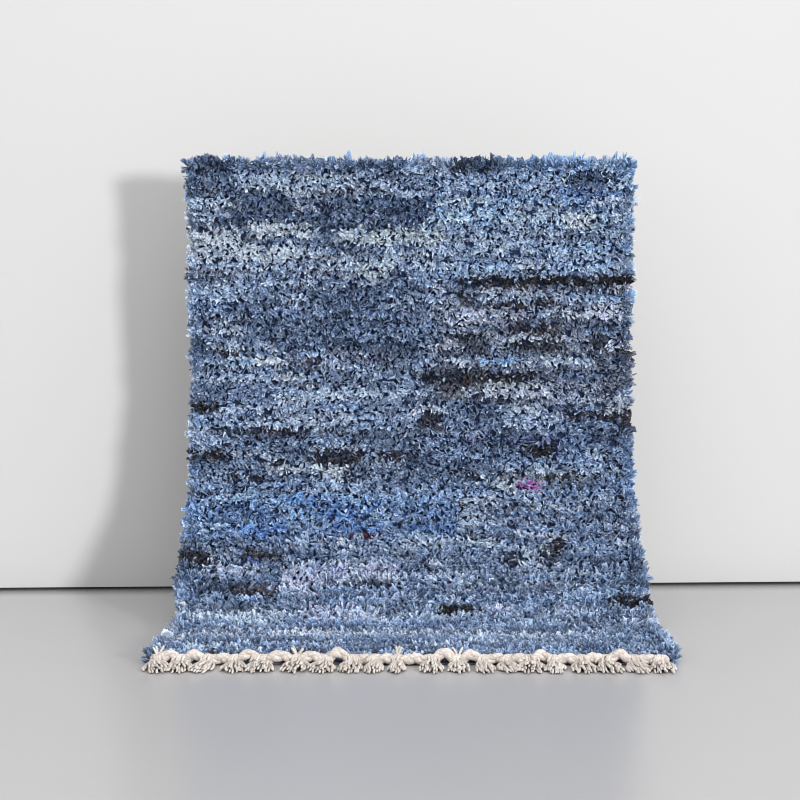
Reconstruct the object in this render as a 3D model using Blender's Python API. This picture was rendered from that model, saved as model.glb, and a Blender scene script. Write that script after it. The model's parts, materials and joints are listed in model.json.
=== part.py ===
"""A boucherouite rug, held by its top edge and hanging, with its lower end swept forward onto the floor.

The rug is hand-knotted: strips of blue rag cloth, knotted row by row into a cotton ground, stand up as
a deep shag. The cotton warp ends are plaited along the lower edge and knotted off in tassels.

Metres, +Z up. The shag faces -Y. The floor is at z = 0, with the origin at the middle of the footprint.
"""

import math

import bmesh
import bpy
import numpy as np

# The rug's size
WOVEN_WIDTH = 1.000
HUNG_LENGTH = 0.480  # from the top edge, straight down
BEND_LENGTH = 0.780  # from hanging to lying flat
FLOOR_LENGTH = 0.270  # flat on the floor, up to the plait
RUG_LENGTH = HUNG_LENGTH + BEND_LENGTH + FLOOR_LENGTH
BEND_GROWTH = 1.3  # 1 is an even arc, and more keeps the turn for the floor end

# How far each side of the weave stands out past half the width, down the rug
SIDE_LINES = (
    # along, left, right
    (0.00, 0.007, 0.007),
    (0.20, 0.002, 0.004),
    (0.45, -0.004, 0.000),
    (0.70, -0.003, 0.003),
    (0.97, 0.005, 0.012),
    (1.21, -0.018, 0.007),
    (1.36, -0.010, 0.010),
    (1.53, -0.003, 0.004),
)

# The shag, measured from the back of the weave
KNOT_ROW_PITCH = 0.037  # one ridge of pile and the parting below it
RIDGE_SHARE = 0.68  # of the pitch, from a parting down to the next ridge, which overhangs
RIDGE_HEIGHT = 0.0262
PARTING_HEIGHT = 0.0180
RIDGE_SPREAD = 0.0036
PARTING_SPREAD = 0.0015
LUMP_PITCH = 0.035
LUMP_SHIFT = 0.24  # of a lump's room, the most that it stands off its place

# The locks round the rim, on narrow strips along the weave's sides and top
RIM_WIDTH = 0.014
RIM_THICK = (0.0175, 0.0235)
LOCK_PITCH = 0.030
LOCK_WIDTH_SHARES = (0.50, 0.68)  # of the pitch
LOCK_SHIFT = 0.0025
LOCK_HEIGHTS = (0.0030, 0.0150)  # where a lock leaves the strip
LOCK_REACH = (0.006, 0.016)  # past the strip's outer face
LOCK_TIP_SHARE = 0.45
LOCK_LEAN = 0.006
LOCK_LIFT = 0.004
BEND_STRETCHES = 4  # the strip along each side is in short stretches where the rug bends

# The plaited warp ends along the lower edge
PLAIT_RADIUS = 0.0078
PLAIT_BULGE = 0.17  # of the radius
PLAIT_TURN = 0.044  # along the edge, for one turn of its two parts
PLAIT_RING_PITCH = 0.008
PLAIT_SIDES = 8
PLAIT_ARCH = 0.15  # its rise between two tassels, of the distance between them
PLAIT_END = 0.008  # how far it stops short of the weave's sides

# The tassels, from the left
TASSEL_PLACES = (
    -0.478, -0.432, -0.385, -0.330, -0.279, -0.212, -0.161, -0.110, -0.066, -0.022,
    0.041, 0.093, 0.141, 0.186, 0.229, 0.273, 0.327, 0.373, 0.424, 0.476,
)
STRANDS_ACROSS = 4
STRAND_LAYERS = 2
STRAND_PITCH = 0.0052
STRAND_SIZE = 0.0043
HEAD_LENGTH = 0.016
HEAD_SECTIONS = (
    # forward share, half width, low, high, roundness
    (0.00, 0.0070, 0.0030, 0.0125, 0.30),
    (0.45, 0.0098, 0.0004, 0.0145, 0.28),
    (1.00, 0.0104, 0.0000, 0.0104, 0.00),
)
LOWER_REACH = (0.034, 0.044)
UPPER_REACH = (0.052, 0.066)
STRAND_FALL = 0.010  # the run over which an upper strand comes down past the end of the lower one
STRAND_TIP_SHARE = 0.55
FAN_SPREAD = 0.024  # the most that an outer strand's tip stands to the side of the head
FAN_ROOM = 0.46  # of the distance to the next tassel
TASSEL_SWING = 0.003

GAP = 0.0003  # between two pieces that touch
SIDE_GAP = 0.0012  # between the slab and its side strips, whose lines bend in steps of their own

DENIM_BLUE = (0.115, 0.175, 0.300, 1.0)
RAW_COTTON = (0.680, 0.610, 0.520, 1.0)

# The back of the weave as a line: how far forward and how high it is, at places along the rug
LINE_STEP = 0.0025
ALONG_LINE = np.linspace(0.0, RUG_LENGTH, round(RUG_LENGTH / LINE_STEP) + 1)


def turn_at(along):
    """The angle that the cloth has turned, from hanging straight down to lying flat."""
    share = np.clip((along - HUNG_LENGTH) / BEND_LENGTH, 0.0, 1.0)
    return 0.5 * math.pi * share**BEND_GROWTH


def follow_the_bend():
    middle_turn = turn_at((ALONG_LINE[1:] + ALONG_LINE[:-1]) / 2)
    steps = np.diff(ALONG_LINE)
    forward = np.concatenate([[0.0], np.cumsum(np.sin(middle_turn) * steps)])
    drop = np.concatenate([[0.0], np.cumsum(np.cos(middle_turn) * steps)])
    lies_flat = ALONG_LINE >= HUNG_LENGTH + BEND_LENGTH
    return forward, np.where(lies_flat, 0.0, drop[-1] - drop)


FORWARD_LINE, HEIGHT_LINE = follow_the_bend()
EDGE_FORWARD = FORWARD_LINE[-1]


def place(across, along, off):
    """The point at a place across and along the rug, off the back of the weave."""
    turn = turn_at(along)
    forward = np.interp(along, ALONG_LINE, FORWARD_LINE) + off * np.cos(turn)
    height = np.interp(along, ALONG_LINE, HEIGHT_LINE) + off * np.sin(turn)
    height = height - np.minimum(along, 0.0)  # above the top edge
    return np.stack(np.broadcast_arrays(across, -forward, height), axis=-1)


def side_line(along, side):
    """Where the weave's side is, for side -1 on the left and 1 on the right, eased between two rows."""
    table = np.array(SIDE_LINES)
    row = np.clip(np.searchsorted(table[:, 0], along, side="right") - 1, 0, len(table) - 2)
    start, end = table[row], table[row + 1]
    share = np.clip((along - start[..., 0]) / (end - start)[..., 0], 0.0, 1.0)
    column = 1 if side < 0 else 2
    stands_out = start[..., column] + (end - start)[..., column] * share**2 * (3 - 2 * share)
    return side * (WOVEN_WIDTH / 2 + stands_out)


def material(name, colour, roughness):
    made = bpy.data.materials.new(name)
    made.use_nodes = True
    shader = made.node_tree.nodes["Principled BSDF"]
    shader.inputs["Base Color"].default_value = colour
    shader.inputs["Roughness"].default_value = roughness
    shader.inputs["Metallic"].default_value = 0.0
    return made


def add_ring(bm, points):
    return [bm.verts.new(point) for point in np.asarray(points).tolist()]


def add_walls(bm, first, second):
    """A quad between each pair of neighbours on two closed rings of vertices."""
    for i in range(len(first)):
        after = (i + 1) % len(first)
        bm.faces.new((first[i], first[after], second[after], second[i]))


def finish(bm, name, cloth, frame):
    bmesh.ops.recalc_face_normals(bm, faces=bm.faces)
    mesh = bpy.data.meshes.new(name)
    bm.to_mesh(mesh)
    bm.free()
    mesh.materials.append(cloth)
    made = bpy.data.objects.new(name, mesh)
    made.parent = frame
    bpy.context.scene.collection.objects.link(made)
    return made


def shag_slab(cloth, frame, rng):
    """The weave and its shag as one lumpy slab: ridges of knots across it, with partings between them."""
    top = RIM_WIDTH + GAP
    rows = 2 * round((RUG_LENGTH - top) / KNOT_ROW_PITCH)
    columns = round(WOVEN_WIDTH / LUMP_PITCH)
    along = np.repeat(np.linspace(top, RUG_LENGTH, rows + 1)[:, None], columns + 1, axis=1)
    left = side_line(along, -1) + RIM_WIDTH + SIDE_GAP
    right = side_line(along, 1) - RIM_WIDTH - SIDE_GAP
    across = left + (right - left) * np.linspace(0.0, 1.0, columns + 1)

    is_ridge = (np.arange(rows + 1) % 2 == 1)[:, None]
    along[1::2] += (RIDGE_SHARE - 0.5) * KNOT_ROW_PITCH
    spread = np.where(is_ridge, RIDGE_SPREAD, PARTING_SPREAD)
    off = np.where(is_ridge, RIDGE_HEIGHT, PARTING_HEIGHT) + spread * rng.uniform(-1.0, 1.0, across.shape)
    shift = rng.uniform(-LUMP_SHIFT, LUMP_SHIFT, (2, rows - 1, columns - 1))
    across[1:-1, 1:-1] += shift[0] * LUMP_PITCH
    along[1:-1, 1:-1] += shift[1] * (1 - RIDGE_SHARE) * KNOT_ROW_PITCH

    bm = bmesh.new()
    front = [add_ring(bm, row) for row in place(across, along, off)]
    back = [add_ring(bm, row) for row in place(across[:, [0, -1]], along[:, [0, -1]], 0.0)]
    for upper, lower in zip(front, front[1:]):
        for i in range(columns):
            bm.faces.new((upper[i], upper[i + 1], lower[i + 1], lower[i]))
    for upper, lower, upper_back, lower_back in zip(front, front[1:], back, back[1:]):
        bm.faces.new((upper_back[0], upper_back[1], lower_back[1], lower_back[0]))
        bm.faces.new((upper[0], lower[0], lower_back[0], upper_back[0]))
        bm.faces.new((upper[-1], lower[-1], lower_back[1], upper_back[1]))
    middle = columns // 2
    for edge, corners in ((front[0], back[0]), (front[-1], back[-1])):
        for i in range(columns):
            bm.faces.new((edge[i], edge[i + 1], corners[0] if i < middle else corners[1]))
        bm.faces.new((edge[middle], corners[1], corners[0]))
    return finish(bm, "rug_shag", cloth, frame)


def add_lock(bm, outer, stations, at, rng):
    """A tapering lock of pile that grows from the middle of a strip's outer face."""
    middle = (stations[0] + stations[1]) / 2 + rng.uniform(-LOCK_SHIFT, LOCK_SHIFT)
    half_width = (stations[1] - stations[0]) * rng.uniform(*LOCK_WIDTH_SHARES) / 2
    low, high = LOCK_HEIGHTS
    reach = rng.uniform(*LOCK_REACH)
    lean = rng.uniform(-LOCK_LEAN, LOCK_LEAN)
    lift = rng.uniform(0.0, LOCK_LIFT)
    previous = outer
    for share, fullness in ((0.0, 1.0), (1.0, LOCK_TIP_SHARE)):
        centre = middle + lean * share
        half = half_width * fullness
        squeeze = (high - low) * (1.0 - fullness) / 2
        bottom = low + squeeze + lift * share
        top = high - squeeze + lift * share
        out = RIM_WIDTH + reach * share
        corners = ((centre - half, top), (centre - half, bottom), (centre + half, bottom), (centre + half, top))
        ring = add_ring(bm, [at(station, out, off) for station, off in corners])
        add_walls(bm, previous, ring)
        previous = ring
    bm.faces.new(previous)


def rim_strip(name, ends, at, cloth, frame, rng):
    """A strip of the weave with locks along its outer face.

    at(station, out, off) is the point at a station along it, out from its inner face and off its back.
    """
    count = round((ends[1] - ends[0]) / LOCK_PITCH)
    stations = np.linspace(ends[0], ends[1], count + 1)
    bm = bmesh.new()
    rings = []
    for station in stations:
        inner, outer = rng.uniform(*RIM_THICK, 2)
        section = ((0.0, 0.0), (0.0, inner), (RIM_WIDTH, outer), (RIM_WIDTH, 0.0))
        rings.append(add_ring(bm, [at(station, out, off) for out, off in section]))
    for i in range(count):
        first, second = rings[i], rings[i + 1]
        for corner in (0, 1, 3):
            after = (corner + 1) % 4
            bm.faces.new((first[corner], first[after], second[after], second[corner]))
        add_lock(bm, [first[2], first[3], second[3], second[2]], stations[i : i + 2], at, rng)
    bm.faces.new(rings[0])
    bm.faces.new(rings[-1])
    return finish(bm, name, cloth, frame)


def side_strips(cloth, frame, rng):
    bend = np.linspace(HUNG_LENGTH, HUNG_LENGTH + BEND_LENGTH, BEND_STRETCHES + 1)
    joins = [RIM_WIDTH, *bend, RUG_LENGTH + GAP]
    for side, side_name in ((-1, "left"), (1, "right")):

        def at(station, out, off):
            return place(side_line(station, side) + side * (out - RIM_WIDTH), station, off)

        for number, (start, end) in enumerate(zip(joins, joins[1:]), start=1):
            rim_strip(f"rim_{side_name}_{number}", (start + GAP, end - GAP), at, cloth, frame, rng)


def top_strip(cloth, frame, rng):
    def at(station, out, off):
        return place(station, RIM_WIDTH - out, off)

    ends = (side_line(0.0, -1), side_line(0.0, 1))
    return rim_strip("rim_top", ends, at, cloth, frame, rng)


def plait_height(across):
    """How high the plait's underside is: on the floor at each tassel, arching up between them."""
    place_number = np.interp(across, TASSEL_PLACES, np.arange(len(TASSEL_PLACES)))
    rooms = np.diff(TASSEL_PLACES)
    room = rooms[np.minimum(place_number.astype(int), len(rooms) - 1)]
    return PLAIT_ARCH * room * np.sin(math.pi * place_number) ** 2


def plait(cotton, frame):
    """The warp ends plaited along the lower edge, as a bar whose two parts wind round each other."""
    half = WOVEN_WIDTH / 2 - PLAIT_END
    count = round(2 * half / PLAIT_RING_PITCH)
    across = np.linspace(-half, half, count + 1)[:, None]
    angle = 2 * math.pi * np.arange(PLAIT_SIDES) / PLAIT_SIDES
    radius = PLAIT_RADIUS * (1 + PLAIT_BULGE * np.cos(2 * angle - 4 * math.pi * across / PLAIT_TURN))
    centre_forward = EDGE_FORWARD + GAP + PLAIT_RADIUS * (1 + PLAIT_BULGE)
    forward = centre_forward + radius * np.cos(angle)
    height = plait_height(across) + PLAIT_RADIUS + radius * np.sin(angle)
    points = np.stack(np.broadcast_arrays(across, -forward, np.maximum(height, 0.0)), axis=-1)
    bm = bmesh.new()
    rings = [add_ring(bm, ring) for ring in points]
    for first, second in zip(rings, rings[1:]):
        add_walls(bm, first, second)
    bm.faces.new(rings[0])
    bm.faces.new(rings[-1])
    return finish(bm, "end_plait", cotton, frame)


def tassel_head(bm, centre, back_forward):
    """A knotted head of rounded sections. Its front face is a grid of corners, one cell to a strand."""
    across_shares = np.linspace(-1.0, 1.0, STRANDS_ACROSS + 1)
    height_shares = np.linspace(-1.0, 1.0, STRAND_LAYERS + 1)
    share_x, share_z = np.meshgrid(across_shares, height_shares)
    rows, columns = share_x.shape
    outline = [(0, j) for j in range(columns)]
    outline += [(i, columns - 1) for i in range(1, rows)]
    outline += [(rows - 1, j) for j in reversed(range(columns - 1))]
    outline += [(i, 0) for i in reversed(range(1, rows - 1))]
    rings = []
    for forward_share, half_width, low, high, roundness in HEAD_SECTIONS:
        across = centre + half_width * share_x * (1 - roundness * share_z**2)
        height = (low + high) / 2 + (high - low) / 2 * share_z * (1 - roundness * share_x**2)
        forward = back_forward + HEAD_LENGTH * forward_share
        grid = np.stack(np.broadcast_arrays(across, -forward, height), axis=-1)
        rings.append(add_ring(bm, [grid[spot] for spot in outline]))
    for first, second in zip(rings, rings[1:]):
        add_walls(bm, first, second)
    bm.faces.new(rings[0])
    corners = {spot: vert for spot, vert in zip(outline, rings[-1])}
    for i in range(1, rows - 1):
        for j in range(1, columns - 1):
            corners[i, j] = bm.verts.new(grid[i, j].tolist())
    return corners


def add_strand(bm, cell, start, heading, profile):
    """A strand that grows from one cell of the head, along a heading on the floor.

    The profile has a row for each section: how far it has reached, its middle's height, and its size.
    """
    direction = np.array((math.sin(heading), -math.cos(heading)))
    beside = np.array((math.cos(heading), math.sin(heading)))
    previous = cell
    for i, (reach, height, size) in enumerate(profile):
        turned = beside if i else np.array((1.0, 0.0))
        middle = start + direction * reach
        corners = []
        for side, rise in ((-1, -1), (1, -1), (1, 1), (-1, 1)):
            flat = middle + turned * side * size / 2
            corners.append((flat[0], flat[1], height + rise * size / 2))
        ring = add_ring(bm, corners)
        add_walls(bm, previous, ring)
        previous = ring
    bm.faces.new(previous)


def tassel(number, room, cotton, frame, rng):
    """A knotted head with strands fanned out flat on the floor, in two layers."""
    centre = TASSEL_PLACES[number]
    back_forward = EDGE_FORWARD + 2 * GAP + 2 * PLAIT_RADIUS * (1 + PLAIT_BULGE)
    front_forward = back_forward + HEAD_LENGTH
    bm = bmesh.new()
    corners = tassel_head(bm, centre, back_forward)
    swing = rng.uniform(-TASSEL_SWING, TASSEL_SWING)
    half_count = (STRANDS_ACROSS - 1) / 2
    layer_height = HEAD_SECTIONS[-1][3] / STRAND_LAYERS
    for column in range(STRANDS_ACROSS):
        side_share = (column - half_count) / half_count
        lower_end = rng.uniform(*LOWER_REACH)
        upper_end = rng.uniform(*UPPER_REACH)
        spread = min(FAN_SPREAD, FAN_ROOM * room - half_count * STRAND_PITCH - TASSEL_SWING)
        heading = math.atan2(side_share * spread + swing, UPPER_REACH[1])
        start = np.array((centre + side_share * half_count * STRAND_PITCH, -front_forward))
        size = STRAND_SIZE
        tip = size * STRAND_TIP_SHARE
        lower = (
            (0.0, layer_height / 2, size),
            (lower_end, tip / 2, tip),
        )
        upper = (
            (0.0, layer_height * 1.5, size),
            (lower_end + size / 2, layer_height * 1.5, size),
            (lower_end + size / 2 + STRAND_FALL, size / 2, size * 0.9),
            (upper_end + size, tip / 2, tip),
        )
        for layer, profile in enumerate((lower, upper)):
            spots = ((layer, column), (layer, column + 1), (layer + 1, column + 1), (layer + 1, column))
            add_strand(bm, [corners[spot] for spot in spots], start, heading, profile)
    return finish(bm, f"tassel_{number + 1:02d}", cotton, frame)


def stand_on_origin(frame):
    """Moves the whole rug, so that the middle of its footprint is at the origin."""
    points = [corner for piece in frame.children for corner in piece.bound_box]
    low, high = np.min(points, axis=0), np.max(points, axis=0)
    frame.location = (-(low[0] + high[0]) / 2, -(low[1] + high[1]) / 2, -low[2])


def main():
    for old in list(bpy.data.objects):
        bpy.data.objects.remove(old)
    frame = bpy.data.objects.new("rug", None)
    bpy.context.scene.collection.objects.link(frame)
    rng = np.random.default_rng(31)

    rag = material("knotted denim rag", DENIM_BLUE, 0.85)
    cotton = material("raw cotton yarn", RAW_COTTON, 0.90)
    shag_slab(rag, frame, rng)
    side_strips(rag, frame, rng)
    top_strip(rag, frame, rng)
    plait(cotton, frame)
    gaps = np.diff(TASSEL_PLACES)
    for number in range(len(TASSEL_PLACES)):
        room = gaps[max(number - 1, 0) : number + 1].min()
        tassel(number, room, cotton, frame, rng)
    stand_on_origin(frame)


main()
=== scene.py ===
# A boucherouite rug: a deep shag of knotted blue rags on a cotton weave. It hangs from its top edge,
# sweeps forward onto the floor, and ends in a plait and tassels of the warp's own yarn.
import json
import math

import bpy
import numpy as np
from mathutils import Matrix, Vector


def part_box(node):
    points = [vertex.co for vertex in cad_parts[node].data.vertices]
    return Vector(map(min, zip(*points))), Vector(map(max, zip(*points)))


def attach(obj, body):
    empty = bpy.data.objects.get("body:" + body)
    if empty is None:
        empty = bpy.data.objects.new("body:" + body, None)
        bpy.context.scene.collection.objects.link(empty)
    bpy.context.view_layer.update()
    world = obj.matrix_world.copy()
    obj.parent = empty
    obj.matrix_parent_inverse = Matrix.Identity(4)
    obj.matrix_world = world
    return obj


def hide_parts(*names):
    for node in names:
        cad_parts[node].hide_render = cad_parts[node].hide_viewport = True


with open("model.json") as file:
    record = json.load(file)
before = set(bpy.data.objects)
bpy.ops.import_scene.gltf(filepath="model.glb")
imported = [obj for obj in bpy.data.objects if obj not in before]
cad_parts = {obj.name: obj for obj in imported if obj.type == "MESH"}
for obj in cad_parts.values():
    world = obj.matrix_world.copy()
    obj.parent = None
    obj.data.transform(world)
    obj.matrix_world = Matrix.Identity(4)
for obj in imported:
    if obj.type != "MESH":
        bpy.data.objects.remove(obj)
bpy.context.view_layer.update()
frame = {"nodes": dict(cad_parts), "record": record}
print("frame loaded:", len(frame["nodes"]), "solids")


def toLinear(hexColour):
    # an sRGB hex value as linear red, green, blue
    channels = np.array([int(hexColour[i:i + 2], 16) for i in (1, 3, 5)]) / 255
    return np.where(channels <= 0.04045, channels / 12.92, ((channels + 0.055) / 1.055) ** 2.4)


def rgba(hexColour):
    return [*toLinear(hexColour).tolist(), 1.0]


# The line of the weave, as the solids have it, in metres

rug = {
    "wovenWidth": 1.000,  # metres, as everywhere below
    "hungLength": 0.480,
    "bendLength": 0.780,
    "floorLength": 0.270,
    "bendGrowth": 1.3,  # 1 is an even arc, more keeps the turn for the floor end
    "lineStep": 0.0025,
}
sideLines = np.array([
    # along, left, right: how far each side stands out past half the width
    (0.00, 0.007, 0.007),
    (0.20, 0.002, 0.004),
    (0.45, -0.004, 0.000),
    (0.70, -0.003, 0.003),
    (0.97, 0.005, 0.012),
    (1.21, -0.018, 0.007),
    (1.36, -0.010, 0.010),
    (1.53, -0.003, 0.004),
])
rugLength = rug["hungLength"] + rug["bendLength"] + rug["floorLength"]
halfWidth = rug["wovenWidth"] / 2
alongLine = np.linspace(0.0, rugLength, round(rugLength / rug["lineStep"]) + 1)

hungBack = next(mount for mount in frame["record"]["mounts"] if mount["name"] == "hung_back")
backPlane = hungBack["pos_m"][1]
plaitLow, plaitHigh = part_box("end_plait")
middleAcross = (plaitLow.x + plaitHigh.x) / 2


def turnAt(along):
    # the cloth's turn from hanging to lying flat, which grows as a power of the way through the bend
    share = np.clip((along - rug["hungLength"]) / rug["bendLength"], 0.0, 1.0)
    return 0.5 * math.pi * share ** rug["bendGrowth"]


middleTurn = turnAt((alongLine[1:] + alongLine[:-1]) / 2)
lineSteps = np.diff(alongLine)
forwardLine = np.concatenate([[0.0], np.cumsum(np.sin(middleTurn) * lineSteps)])
dropLine = np.concatenate([[0.0], np.cumsum(np.cos(middleTurn) * lineSteps)])
liesFlat = alongLine >= rug["hungLength"] + rug["bendLength"]
heightLine = np.where(liesFlat, 0.0, dropLine[-1] - dropLine)
edgeForward = forwardLine[-1]


def place(across, along, off):
    # the point across and along the rug and off the back of its weave: the place on the line of the
    # weave, plus off times the line's normal, and straight on past either end
    turn = turnAt(along)
    forward = np.interp(along, alongLine, forwardLine) + np.maximum(along - rugLength, 0.0)
    height = np.interp(along, alongLine, heightLine) - np.minimum(along, 0.0)
    forward = forward + off * np.cos(turn)
    height = height + off * np.sin(turn)
    points = np.broadcast_arrays(middleAcross + across, backPlane - forward, height)
    return np.stack(points, axis=-1)


def sideLine(along, side):
    # the weave's side, for side -1 on the left and 1 on the right, eased between two rows of the table
    row = np.clip(np.searchsorted(sideLines[:, 0], along, side="right") - 1, 0, len(sideLines) - 2)
    start, end = sideLines[row], sideLines[row + 1]
    share = np.clip((along - start[..., 0]) / (end - start)[..., 0], 0.0, 1.0)
    column = 1 if side < 0 else 2
    standsOut = start[..., column] + (end - start)[..., column] * share ** 2 * (3 - 2 * share)
    return side * (halfWidth + standsOut)


# Meshes from grids of points

def gridFaces(copies, rows, columns, closed=False):
    # the corners of each face of a rows by columns grid, for every copy of it; a closed grid joins its
    # last column to its first, and each end is capped with a row of faces
    row = np.arange(rows - 1)[:, None]
    column = np.arange(columns if closed else columns - 1)[None, :]
    after = (column + 1) % columns
    corners = (row * columns + column, (row + 1) * columns + column,
               (row + 1) * columns + after, row * columns + after)
    faces = np.stack(np.broadcast_arrays(*corners), axis=-1).reshape(-1, 4)
    if closed:
        step = np.arange(columns // 2 - 1)
        cap = np.stack([step, step + 1, columns - 2 - step, columns - 1 - step], axis=-1)
        faces = np.concatenate([faces, cap, cap[:, ::-1] + (rows - 1) * columns])
    offsets = np.arange(copies)[:, None, None] * rows * columns
    return (faces + offsets).reshape(-1, 4)


def makePiece(name, points, faces, uv, colour, material):
    # points, uv and colour hold one row for each point
    mesh = bpy.data.meshes.new(name)
    mesh.vertices.add(len(points))
    mesh.vertices.foreach_set("co", np.ascontiguousarray(points, dtype=np.float32).ravel())
    mesh.loops.add(faces.size)
    mesh.loops.foreach_set("vertex_index", faces.ravel().astype(np.int32))
    mesh.polygons.add(len(faces))
    mesh.polygons.foreach_set("loop_start", np.arange(0, faces.size, 4, dtype=np.int32))
    mesh.update(calc_edges=True)
    layer = mesh.uv_layers.new(name="lie")
    layer.data.foreach_set("uv", uv[faces.ravel()].astype(np.float32).ravel())
    shade = mesh.color_attributes.new(name="clothColour", type="FLOAT_COLOR", domain="POINT")
    filled = np.concatenate([colour, np.ones((len(colour), 1))], axis=1)
    shade.data.foreach_set("color", filled.astype(np.float32).ravel())
    mesh.polygons.foreach_set("use_smooth", np.ones(len(faces), dtype=bool))
    mesh.materials.append(material)
    piece = bpy.data.objects.new(name, mesh)
    bpy.context.scene.collection.objects.link(piece)
    return piece


# Materials

def addNode(tree, kind, sockets=None, **settings):
    # one node, with its settings, and each socket given a value or a link
    node = tree.nodes.new(kind)
    for name, value in settings.items():
        setattr(node, name, value)
    for name, value in (sockets or {}).items():
        if isinstance(value, bpy.types.NodeSocket):
            tree.links.new(value, node.inputs[name])
        else:
            node.inputs[name].default_value = value
    return node


def startMaterial(name, roughness, sheen=0.0):
    material = bpy.data.materials.new(name)
    material.use_nodes = True
    tree = material.node_tree
    shader = tree.nodes["Principled BSDF"]
    shader.inputs["Roughness"].default_value = roughness
    shader.inputs["Sheen Weight"].default_value = sheen
    shader.inputs["Sheen Roughness"].default_value = 0.5
    return material, tree, shader


rag = {
    "roughness": 0.86,
    "sheen": 0.05,
    "gloss": 0.15,
    "threadsAcross": 14,  # a thread every 0.4 mm, a little coarser than real ones
    "threadRise": 0.0002,
    "creasesAcross": 3.2,
    "creasesAlong": 1.2,
    "creaseRise": 0.0010,
    "valleyIn": (0.36, 0.48),  # of the noise that makes the creases: a valley is full, and ends
    "crestIn": (0.48, 0.62),  # a crest starts, and is full
    "creaseShade": 0.46,  # painted shade: of the dye's brightness, deep in a crease
    "wearAndHighlightGain": 1.72,  # the dye's brightness where worn, and as painted highlight on the crests
    "threadShow": 0.05,  # how much of the white thread shows there
    "whiteThread": "#c2cddf",
    "shadePower": (1.54, 1.15, 0.77),  # cloth in shade is a deeper blue as well as darker
    "rootShade": 0.72,
    "shadedTo": (0.30, 0.92),  # of its length from the root: the root's shade ends between these
    "frayStart": 0.72,
    "sideFray": 0.92,  # the sides fray less than the torn end
    "palest": "#dbe5f1",
}


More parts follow.
